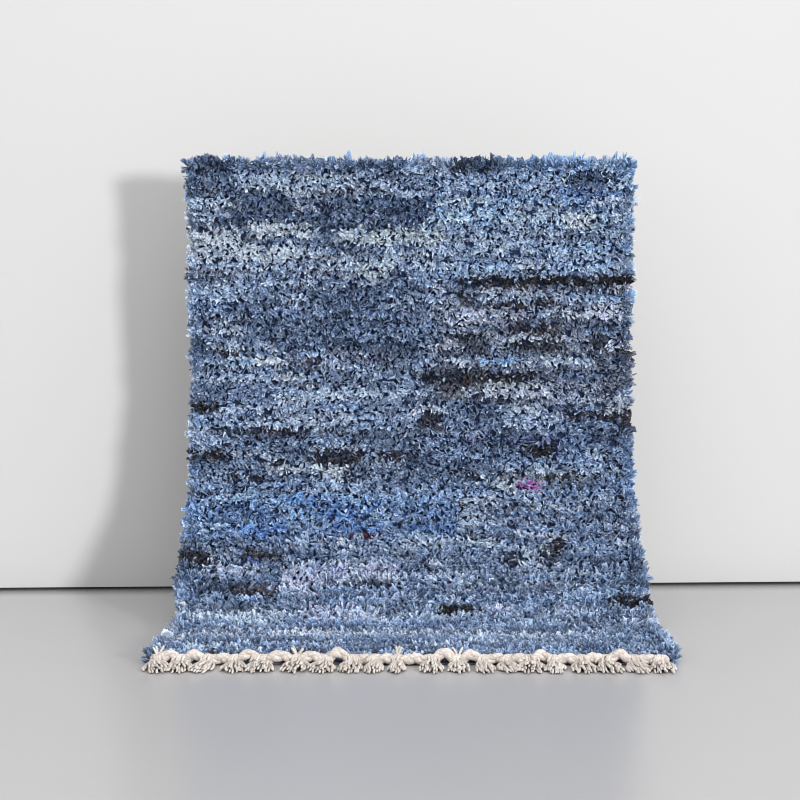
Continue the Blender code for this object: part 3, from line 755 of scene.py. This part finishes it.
def rimPile(material, rng):
    # Strips that lean out past both sides and the top, rooted just inside the weave's edge
    sideCount = round(rugLength / rim["spacing"])
    topCount = round(rug["wovenWidth"] / rim["spacing"])
    along = rng.uniform(0.0, rugLength, 2 * sideCount)
    side = np.repeat((-1, 1), sideCount)
    sideIn, topIn = rng.uniform(*rim["rootIn"], 2 * sideCount), rng.uniform(*rim["rootIn"], topCount)
    edge = np.where(side < 0, sideLine(along, -1), sideLine(along, 1)) - side * sideIn
    overTop = rng.uniform(-halfWidth, halfWidth, topCount)
    across = np.concatenate([edge, overTop])
    along = np.concatenate([along, topIn])
    heading = np.concatenate([np.where(side < 0, math.pi, 0.0), np.full(topCount, -math.pi / 2)])

    # the way round the rim, left side, right side and top one after another
    way = np.concatenate([along[:sideCount], along[sideCount:2 * sideCount] + rugLength,
                          overTop + halfWidth + 2 * rugLength])
    wholeWay = 2 * rugLength + rug["wovenWidth"]
    stops = np.linspace(0.0, wholeWay, round(wholeWay / rim["lumpPitch"]))
    lump = np.interp(way, stops, rng.uniform(*rim["lumps"], len(stops)))
    swing = np.interp(way, stops, rng.normal(0.0, rim["swing"], len(stops)))
    count = len(across)
    heading = heading + swing + rng.normal(0.0, rim["headingSpread"], count)
    lean = np.clip(rng.normal(*rim["lean"], count), *rim["leanLimits"])
    isSide = np.arange(count) < 2 * sideCount
    sideLength, topLength = rng.uniform(*rim["sideLength"], count), rng.uniform(*rim["topLength"], count)
    length = np.where(isSide, sideLength, topLength) * lump
    root = np.stack([across, along, rng.uniform(*rim["startOff"], count)], axis=-1)
    row = np.clip(along / rowPitch, 0, rowCount - 1).astype(int)
    turn = heading + math.pi / 2 + rng.normal(0.0, rim["ownTurn"], count)
    colour = coloursAt(across, row, rng)
    shape = ragStrips(root, lean, heading, length, turn, rim["bend"], rim["width"], colour, rng)
    return makePiece("rim_pile", *shape, material)


pileRandom = np.random.default_rng(17)
ragMaterial = ragCloth()
bandRows = np.array_split(np.arange(rowCount), pile["bands"])
pileBands = [pileBand(f"pile_{i + 1}", rows, ragMaterial, pileRandom) for i, rows in enumerate(bandRows)]
for piece in pileBands:
    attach(piece, "root")
    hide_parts("rug_shag")
print("pile made:", rowCount * pile["stripsPerRow"], "strips")

rimPiece = rimPile(ragMaterial, pileRandom)
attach(rimPiece, "root")
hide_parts(*[name for name in frame["nodes"] if name.startswith("rim_")])
print("rim made")


# The ground weave and the backs of its knots

def makeGround(material):
    # A closed section carried along the line of the weave: a ribbed back, high and low by turns from
    # one row of points to the next, and a flat face.
    ribs = round(rugLength / weave["ribPitch"])
    along = np.linspace(0.0, rugLength, 2 * ribs + 1)[:, None]
    share = np.linspace(0.0, 1.0, weave["columns"] + 1)
    left, right = sideLine(along, -1), sideLine(along, 1)
    across = left + (right - left) * share
    isCrest = (np.arange(2 * ribs + 1) % 2 == 0)[:, None]
    back = np.where(isCrest, weave["crest"], weave["groove"]) + 0 * across
    face = np.full_like(back, weave["face"])
    ringAcross = np.concatenate([across, across[:, ::-1]], axis=1)
    points = place(ringAcross, along, np.concatenate([back, face], axis=1))
    colour = np.zeros(points.shape)
    colour[:, :weave["columns"] + 1] = toLinear(weave["backColour"])
    # the face is painted shade under the pile
    colour[:, weave["columns"] + 1:] = toLinear(weave["faceShadedColour"])
    uv = np.stack(np.broadcast_arrays(ringAcross, along), axis=-1)
    faces = gridFaces(1, points.shape[0], points.shape[1], closed=True)
    return makePiece("ground_weave", points.reshape(-1, 3), faces, uv.reshape(-1, 2),
                     colour.reshape(-1, 3), material)


knotBack = {
    "width": 0.0092,
    "height": 0.0076,
    "waist": 0.72,
    "size": (0.85, 1.1),
    "unevenness": 0.0007,
    "edgeDepth": 0.0006,  # its edge lies this far below the crests of the ribs
}


def makeKnotBacks(material, rng):
    # a small dome of 3 by 3 points for each knot: its edge on the ribs and its middle on the back plane
    row, knot = np.meshgrid(np.arange(rowCount), np.arange(knotCount), indexing="ij")
    row, knot = row.ravel(), knot.ravel()
    count = len(row)
    across = (knot + 0.5) * knotPitch - halfWidth + rng.normal(0.0, knotBack["unevenness"], count)
    along = (row + 0.5) * rowPitch + rng.normal(0.0, knotBack["unevenness"], count)
    size = rng.uniform(*knotBack["size"], (count, 1, 1)) / 2
    side = np.array((-1.0, 0.0, 1.0))
    pinch = np.where(side == 0.0, 1.0, knotBack["waist"])
    x = across[:, None, None] + knotBack["width"] * size * side * pinch[:, None]
    y = along[:, None, None] + knotBack["height"] * size * side[:, None] * pinch
    inMiddle = (side[:, None] == 0.0) & (side == 0.0)
    off = np.where(inMiddle, 0.0, weave["crest"] + knotBack["edgeDepth"]) + 0 * x
    points = place(x, y, off).reshape(-1, 3)
    faces = gridFaces(count, 3, 3)[:, ::-1]
    uv = np.full((len(points), 2), 0.5)
    colour = np.repeat(np.clip(knotColours[row, knot], 0.0, knots["brightest"]), 9, axis=0)
    return makePiece("knot_backs", points, faces, uv, colour, material)


groundPiece = makeGround(groundWeave())
knotPiece = makeKnotBacks(ragMaterial, np.random.default_rng(23))
for piece in (groundPiece, knotPiece):
    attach(piece, "root")
    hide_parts("rug_shag")
print("ground woven")


# The plait and the tassels

plait = {
    "solidRadius": 0.0078,  # the solid's own radius, the swell of its two ridges, and its gap
    "solidBulge": 0.17,
    "gap": 0.0003,
    "strandRadius": 0.0057,
    "sway": (0.0033, 0.0047),  # forward and up
    "pitch": 0.058,
    "ringStep": 0.0028,
    "sides": 14,
    "arches": (0.05, 0.34),  # its rise between two tassels, of the distance between them
    "endShort": 0.008,
    "lumps": 0.24,
    "lumpStops": 45,
    "endFullness": 0.55,
    "plyLobes": (5, 0.10, 0.030),  # how many, their depth of the radius, and their turn's length
}
tasselPlaces = np.array([
    -0.478, -0.432, -0.385, -0.330, -0.279, -0.212, -0.161, -0.110, -0.066, -0.022,
    0.041, 0.093, 0.141, 0.186, 0.229, 0.273, 0.327, 0.373, 0.424, 0.476,
])
roomArches = np.random.default_rng(37).uniform(*plait["arches"], len(tasselPlaces) - 1)


def plaitHeight(across):
    # the plait's underside: on the floor at each tassel, and arching up between two as a sine squared
    number = np.interp(across, tasselPlaces, np.arange(len(tasselPlaces)))
    rooms = np.diff(tasselPlaces)
    between = np.minimum(number.astype(int), len(rooms) - 1)
    return roomArches[between] * rooms[between] * np.sin(math.pi * number) ** 2


def yarnTubes(paths, radius, sides, plyLobes, hint):
    # A ring of points square to the path at each of its points. The ring's radius swells once for each
    # lobe, and the lobes wind round the path, one turn in each turn length. The hint is a direction
    # that no path takes.
    lobes, lobeDepth, turnLength = plyLobes
    tangent = np.gradient(paths, axis=1)
    tangent /= np.linalg.norm(tangent, axis=-1, keepdims=True)
    beside = np.cross(tangent, np.array(hint))
    beside /= np.linalg.norm(beside, axis=-1, keepdims=True)
    above = np.cross(beside, tangent)
    stretch = np.linalg.norm(np.diff(paths, axis=1), axis=-1)
    way = np.concatenate([np.zeros((len(paths), 1)), np.cumsum(stretch, axis=1)], axis=1)
    angle = 2 * math.pi * np.arange(sides) / sides
    wind = 2 * math.pi * way / turnLength
    swell = radius[..., None] * (1 + lobeDepth * np.cos(lobes * (angle - wind[..., None])))
    points = (paths[:, :, None]
              + swell[..., None] * (np.cos(angle)[:, None] * beside[:, :, None]
                                    + np.sin(angle)[:, None] * above[:, :, None]))
    uv = np.stack(np.broadcast_arrays(angle / (2 * math.pi), way[..., None] / yarn["plyTurn"]), axis=-1)
    faces = gridFaces(len(paths), paths.shape[1], sides, closed=True)
    return points.reshape(-1, 3), faces, uv.reshape(-1, 2)


def closedEnds(rings, start, end):
    # a yarn's fullness along its way: drawn in at both ends
    fullness = np.ones(rings)
    fullness[0], fullness[-1] = start, end
    return fullness


def makePlait(material, rng):
    # Three strands that follow one another: each swings up and down once in a pitch, and forward and
    # back twice, a third of the pitch after the one before it.
    half = halfWidth - plait["endShort"]
    across = np.linspace(-half, half, round(2 * half / plait["ringStep"]) + 1)
    swing = 2 * math.pi * (across / plait["pitch"] + np.arange(3)[:, None] / 3)
    reach = plait["solidRadius"] * (1 + plait["solidBulge"])
    stops = np.linspace(-half, half, plait["lumpStops"])
    uneven = np.stack([np.interp(across, stops, rng.uniform(-1.0, 1.0, len(stops))) for _ in range(3)])
    sway = plait["sway"]
    forward = edgeForward + plait["gap"] + reach + sway[0] * np.sin(2 * swing)
    height = plaitHeight(across) + reach + sway[1] * np.sin(swing)
    radius = plait["strandRadius"] * (1 + plait["lumps"] * uneven)
    radius = radius * closedEnds(len(across), plait["endFullness"], plait["endFullness"])
    height = np.maximum(height, radius)
    paths = np.broadcast_arrays(middleAcross + across, backPlane - forward, height)
    paths = np.stack(paths, axis=-1)
    points, faces, uv = yarnTubes(paths, radius, plait["sides"], plait["plyLobes"], (0.0, 0.0, 1.0))
    points[:, 2] = np.maximum(points[:, 2], 0.0)
    shades = np.array([toLinear(shade) for shade in yarn["shades"]])
    colour = np.repeat(shades[:3], len(across) * plait["sides"], axis=0)
    return makePiece("plait_strands", points, faces, uv, colour, material)


tassel = {
    "yarns": 30,
    "radius": (0.0021, 0.0029),
    "sides": 7,
    "rings": 11,
    "spread": 0.0205,
    "size": (0.78, 1.32),  # some tassels are tied from more yarns than others
    "room": 0.60,  # of the distance to the next tassel
    "reach": (0.066, 0.086),
    "heap": 0.0100,  # the height of its heaped ends, at the middle
    "upperShort": 0.34,  # how much further back the topmost ends are cut
    "headHalf": 0.0090,
    "headHeight": 0.0095,
    "wraps": 5,
    "wrapHalf": 0.0085,
    "wrapSlant": 0.0060,
    "wrapRise": 0.0016,
    "sag": 0.0045,
    "uneven": 0.10,  # of half its spread, from one yarn to the next
    "sideShort": 0.24,  # how much shorter the outermost ends are
    "lift": 0.0016,
    "wrapSlip": 0.0022,
    "strayLean": 0.006,
    "strayHeight": (0.017, 0.023),
    "endFullness": (0.6, 0.55),
    "plyLobes": (3, 0.12, 0.014),
}
strayEnds = {0: 3, 5: 3, 9: 3, 11: 2}  # tassels with yarn ends that stick up behind the plait


def bezier(corners, rings):
    # points on cubic curves, given each curve's four corners
    share = np.linspace(0.0, 1.0, rings)[:, None]
    weights = ((1 - share) ** 3, 3 * share * (1 - share) ** 2, 3 * share ** 2 * (1 - share), share ** 3)
    return sum(corners[:, None, i] * weights[i] for i in range(4))


def makeTassel(number, material, rng):
    centre = tasselPlaces[number]
    gaps = np.abs(np.delete(tasselPlaces, number) - centre)
    size = rng.uniform(*tassel["size"])
    spread = min(size * tassel["spread"], tassel["room"] * gaps.min())
    reachOver = 2 * plait["solidRadius"] * (1 + plait["solidBulge"])
    front = edgeForward + plait["gap"] + reachOver

    # the splayed ends: out of the knot, forward, and down in a heap whose upper ends are cut further back
    count = round(tassel["yarns"] * (0.5 + 0.5 * size))
    share = np.linspace(-1.0, 1.0, count) + rng.normal(0.0, tassel["uneven"], count)
    share = np.clip(share, -1 - tassel["uneven"], 1 + tassel["uneven"])
    swing = rng.normal(0.0, tassel["sag"])
    layer = (np.arange(count) * 3 % 4) / 3
    radius = rng.uniform(*tassel["radius"], count)
    reach = rng.uniform(*tassel["reach"], count) * (1 - tassel["sideShort"] * share ** 2)
    reach = reach * (1 - tassel["upperShort"] * layer)
    tipHeight = radius + size * tassel["heap"] * layer * np.maximum(1 - 0.8 * share ** 2, 0.0)
    tipHeight = tipHeight + rng.uniform(0.0, tassel["lift"], count)
    startHeight = tassel["headHeight"] * (0.30 + 0.70 * layer)
    bow = rng.normal(0.0, tassel["sag"], count)
    # the four corners of each end's curve: in the knot, just out of it, halfway, and the tip
    corners = (
        (centre + share * size * tassel["headHalf"] * 0.8, front - 0.003 + 0 * share, startHeight),
        (centre + share * spread * 0.50, front + 0.009 + 0 * share, startHeight),
        (centre + share * spread * 0.95 + bow, front + 0.50 * reach, tipHeight + 0.0015),
        (centre + share * spread + swing + bow * 0.2, front + reach, tipHeight),
    )
    fan = bezier(np.stack([np.stack(corner, axis=-1) for corner in corners], axis=1), tassel["rings"])

    # the knot: yarns side by side, up behind the plait, over it and down its front
    wraps = tassel["wraps"]
    side = np.linspace(-1.0, 1.0, wraps)
    top = plaitHeight(centre) + reachOver + tassel["wrapRise"] * (1 - 0.5 * side ** 2)
    arc = np.linspace(-0.15, 1.12, tassel["rings"])[:, None] * math.pi
    radii = rng.uniform(*tassel["radius"], wraps)
    bellied = reachOver / 2 + tassel["wrapRise"] * 0.6
    overForward = front - reachOver / 2 - bellied * np.cos(arc)
    overHeight = top / 2 + (top / 2) * np.sin(arc)
    slip = rng.normal(0.0, tassel["wrapSlip"], wraps) + rng.choice((-1, 1)) * tassel["wrapSlant"]
    overAcross = centre + side * size * tassel["wrapHalf"] * (1 - 0.2 * np.sin(arc)) + slip * np.cos(arc)
    over = np.broadcast_arrays(overAcross, overForward, np.maximum(overHeight, radii))
    wrap = np.stack(over, axis=-1).transpose(1, 0, 2)

    paths, allRadii = [fan, wrap], [radius, radii]
    strays = strayEnds.get(number, 0)
    if strays:
        lean = rng.uniform(-tassel["strayLean"], tassel["strayLean"], strays)
        foot = np.stack([centre + lean * 0.3, np.full(strays, front - reachOver * 0.7),
                         np.full(strays, reachOver * 0.8)], axis=-1)
        tipUp = foot + np.stack([lean * 1.8, rng.uniform(-0.002, 0.006, strays),
                                 rng.uniform(*tassel["strayHeight"], strays)], axis=-1)
        bent = foot + (tipUp - foot) * np.array((0.2, 0.9, 0.5))
        corners = np.stack([foot, foot * 0.6 + bent * 0.4, bent, tipUp], axis=1)
        paths.append(bezier(corners, tassel["rings"]))
        allRadii.append(rng.uniform(*tassel["radius"], strays))
    paths = np.concatenate(paths)
    radius = np.concatenate(allRadii)[:, None] * closedEnds(tassel["rings"], *tassel["endFullness"])
    placed = np.stack([middleAcross + paths[..., 0], backPlane - paths[..., 1], paths[..., 2]], axis=-1)
    points, faces, uv = yarnTubes(placed, radius, tassel["sides"], tassel["plyLobes"], (1.0, 0.04, 0.02))
    points[:, 2] = np.maximum(points[:, 2], 0.0)
    shades = np.array([toLinear(shade) for shade in yarn["shades"]])
    perYarn = shades[rng.integers(0, len(shades), len(placed))]
    colour = np.repeat(perYarn, tassel["rings"] * tassel["sides"], axis=0)
    return makePiece(f"tassel_yarns_{number + 1:02d}", points, faces, uv, colour, material)


yarnMaterial = cottonYarn()
plaitPiece = makePlait(yarnMaterial, np.random.default_rng(41))
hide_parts("end_plait")
tasselRandom = np.random.default_rng(43)
tasselPieces = []
for number in range(len(tasselPlaces)):
    piece = makeTassel(number, yarnMaterial, tasselRandom)
    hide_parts(f"tassel_{number + 1:02d}")
    tasselPieces.append(piece)
for piece in (plaitPiece, *tasselPieces):
    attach(piece, "root")
print("fringe made:", len(tasselPieces), "tassels")


# Floor, backdrop, light and camera

studio = {
    "floorColour": "#b4b3b4",
    "floorRoughness": 0.26,
    "wallColour": "#c8c8c8",
    "wallRoughness": 0.95,
    "wallGloss": 0.1,
    "jointColour": "#303030",
    "wallPlace": 0.707,
    "wallSlope": 0.059,  # it stands further back on the right
    "wallFoot": 0.005,
    # painted shade on the floor along the wall: how far it reaches, and how dark
    "jointReach": 0.14,
    "jointShade": 0.70,
    "reach": 6.0,
    "skyColour": "#ffffff",
    "sky": 1.03,
    "key": 23.6,
    "keyRadius": 0.36,
    "keyPlace": (2.776, -4.094, 1.33),
    "top": 40.0,
    "topPlace": (0.0, -3.0, 4.0),
    "topSize": 3.0,
}


def makeStage(name, corners, material):
    mesh = bpy.data.meshes.new(name)
    mesh.from_pydata(corners, [], [(0, 1, 2, 3)])
    mesh.materials.append(material)
    piece = bpy.data.objects.new(name, mesh)
    bpy.context.scene.collection.objects.link(piece)
    return piece


def floorPaint():
    # sealed concrete: pale, smooth and faintly glossy at a low angle, with painted shade along the wall
    material, tree, shader = startMaterial("sealedConcrete", studio["floorRoughness"])
    placeIn = addNode(tree, "ShaderNodeTexCoord")
    fromWall = addNode(tree, "ShaderNodeVectorMath",
                       {0: placeIn.outputs["Object"], 1: (-studio["wallSlope"], 1.0, 0.0)},
                       operation="DOT_PRODUCT")
    # painted shade, darker towards the wall
    near = addNode(tree, "ShaderNodeMapRange",
                   {"Value": fromWall.outputs["Value"],
                    "From Min": studio["wallPlace"] - studio["jointReach"],
                    "From Max": studio["wallPlace"], "To Min": 0.0, "To Max": studio["jointShade"]},
                   interpolation_type="SMOOTHERSTEP")
    paint = addNode(tree, "ShaderNodeMix",
                    {"Factor": near.outputs[0], 6: rgba(studio["floorColour"]), 7: (0.0, 0.0, 0.0, 1.0)},
                    data_type="RGBA")
    tree.links.new(paint.outputs[2], shader.inputs["Base Color"])
    return material


def wallPaint(name, hexColour):
    # matte white emulsion, and see-through from behind so that the rug's back can be looked at
    material, tree, shader = startMaterial(name, studio["wallRoughness"])
    shader.inputs["Base Color"].default_value = rgba(hexColour)
    shader.inputs["Specular IOR Level"].default_value = studio["wallGloss"]
    side = addNode(tree, "ShaderNodeNewGeometry")
    clear = addNode(tree, "ShaderNodeBsdfTransparent")
    either = addNode(tree, "ShaderNodeMixShader",
                     {0: side.outputs["Backfacing"], 1: shader.outputs[0], 2: clear.outputs[0]})
    tree.links.new(either.outputs[0], tree.nodes["Material Output"].inputs["Surface"])
    return material


reach, wallPlace, wallFoot = studio["reach"], studio["wallPlace"], studio["wallFoot"]
leftWall, rightWall = wallPlace - studio["wallSlope"] * reach, wallPlace + studio["wallSlope"] * reach
makeStage("floor", [(-reach, -reach, 0), (reach, -reach, 0), (reach, reach, 0), (-reach, reach, 0)],
          floorPaint())
makeStage("wall", [(-reach, leftWall, wallFoot), (reach, rightWall, wallFoot),
                   (reach, rightWall, reach), (-reach, leftWall, reach)],
          wallPaint("whiteEmulsion", studio["wallColour"]))
makeStage("wall_joint", [(-reach, leftWall, 0.0), (reach, rightWall, 0.0),
                         (reach, rightWall, wallFoot), (-reach, leftWall, wallFoot)],
          wallPaint("darkJoint", studio["jointColour"]))

scene = bpy.context.scene
world = bpy.data.worlds.new("softSky")
world.use_nodes = True
sky = world.node_tree.nodes["Background"]
sky.inputs["Color"].default_value = rgba(studio["skyColour"])
sky.inputs["Strength"].default_value = studio["sky"]
scene.world = world


# The key light is far off to the right and as strong at any distance, as one much further away would be
keyData = bpy.data.lights.new("keyLight", "POINT")
keyData.energy = studio["key"]
keyData.shadow_soft_size = studio["keyRadius"]
keyData.use_nodes = True
falloff = addNode(keyData.node_tree, "ShaderNodeLightFalloff", {"Strength": 1.0})
keyData.node_tree.links.new(falloff.outputs["Constant"],
                            keyData.node_tree.nodes["Emission"].inputs["Strength"])
keyLight = bpy.data.objects.new("keyLight", keyData)
keyLight.location = studio["keyPlace"]
keyLight.visible_camera = False
scene.collection.objects.link(keyLight)

topData = bpy.data.lights.new("topLight", "AREA")
topData.energy = studio["top"]
topData.size = studio["topSize"]
topLight = bpy.data.objects.new("topLight", topData)
topLight.location = studio["topPlace"]
topLight.visible_camera = False
scene.collection.objects.link(topLight)

cameraSet = {"lens": 75.0, "sensor": 36.0, "place": (0.0, -3.457, 0.616), "down": 2.03, "left": 0.38}
cameraData = bpy.data.cameras.new("camera")
cameraData.lens = cameraSet["lens"]
cameraData.sensor_width = cameraSet["sensor"]
camera = bpy.data.objects.new("camera", cameraData)
camera.location = cameraSet["place"]
camera.rotation_euler = (math.radians(90 - cameraSet["down"]), 0.0, math.radians(cameraSet["left"]))
scene.collection.objects.link(camera)
scene.camera = camera
scene.view_settings.view_transform = "Standard"
scene.cycles.filter_width = 1.0  # a sharp picture, as of a good lens
print("studio set")
